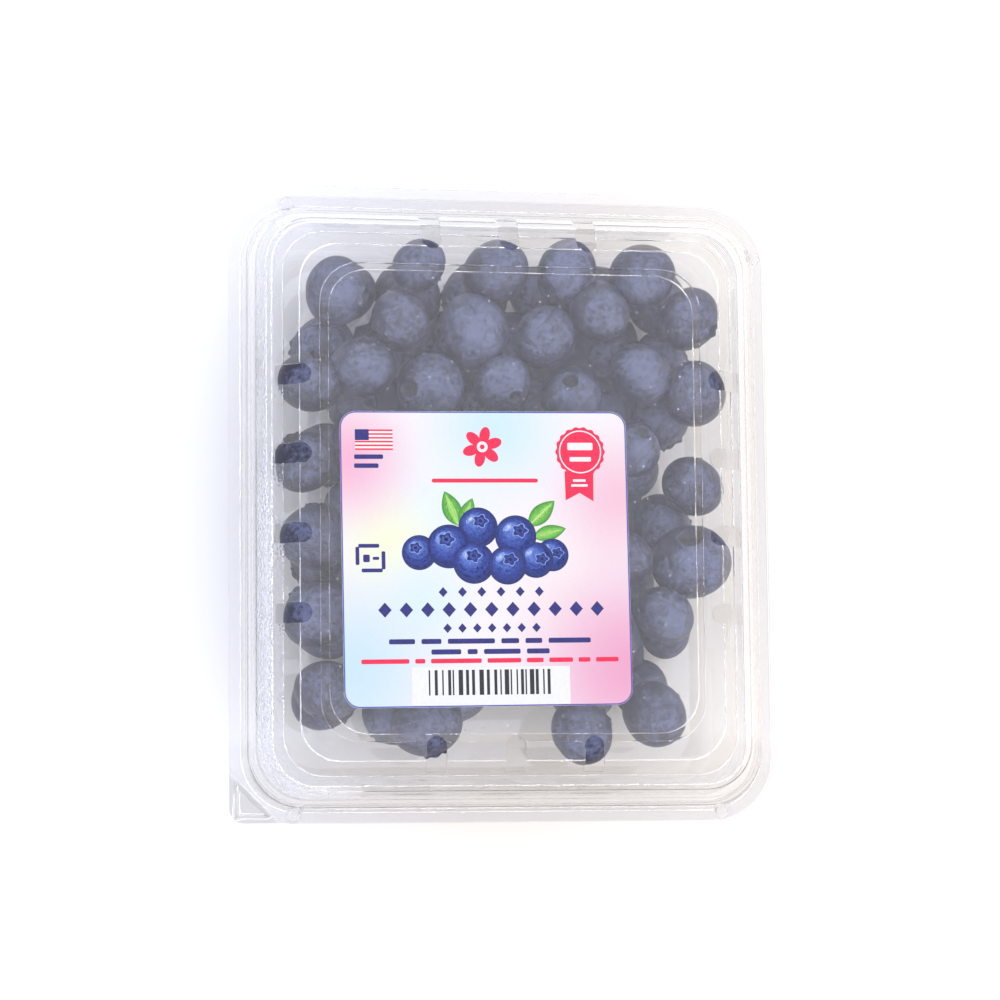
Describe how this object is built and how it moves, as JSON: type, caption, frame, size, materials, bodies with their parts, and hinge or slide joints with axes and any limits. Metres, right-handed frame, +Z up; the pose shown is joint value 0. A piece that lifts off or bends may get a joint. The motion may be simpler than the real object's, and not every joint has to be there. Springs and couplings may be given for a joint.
{
  "type": "punnet of blueberries",
  "caption": "Shut clear clamshell punnet with a vented, two-step lid on a living hinge, a square label, and a heap of blueberries inside.",
  "frame": {"origin": "centre of the whole pack's box, hinge included, on the surface that it stands on", "axes": "+Z up out of the lid, X across the pack, +Y along it towards the hinge"},
  "size_m": [0.112, 0.1304, 0.0334],
  "materials": {
    "clear_sheet": "clear glossy thermoformed sheet",
    "berry_skin": "dark blue skin with a pale waxy bloom",
    "label_film": "satin printed adhesive label"
  },
  "bodies": {
    "tray_body": {"tray": "clear_sheet", "blueberries": "berry_skin"},
    "lid_body": {"lid": "clear_sheet", "label": "label_film"}
  },
  "joints": [
    {"name": "lid_hinge", "type": "hinge", "parent": "tray_body", "child": "lid_body", "pos_m": [0, 0.06535, 0.01915], "axis": [-1, 0, 0], "range_deg": [0, 180]}
  ]
}
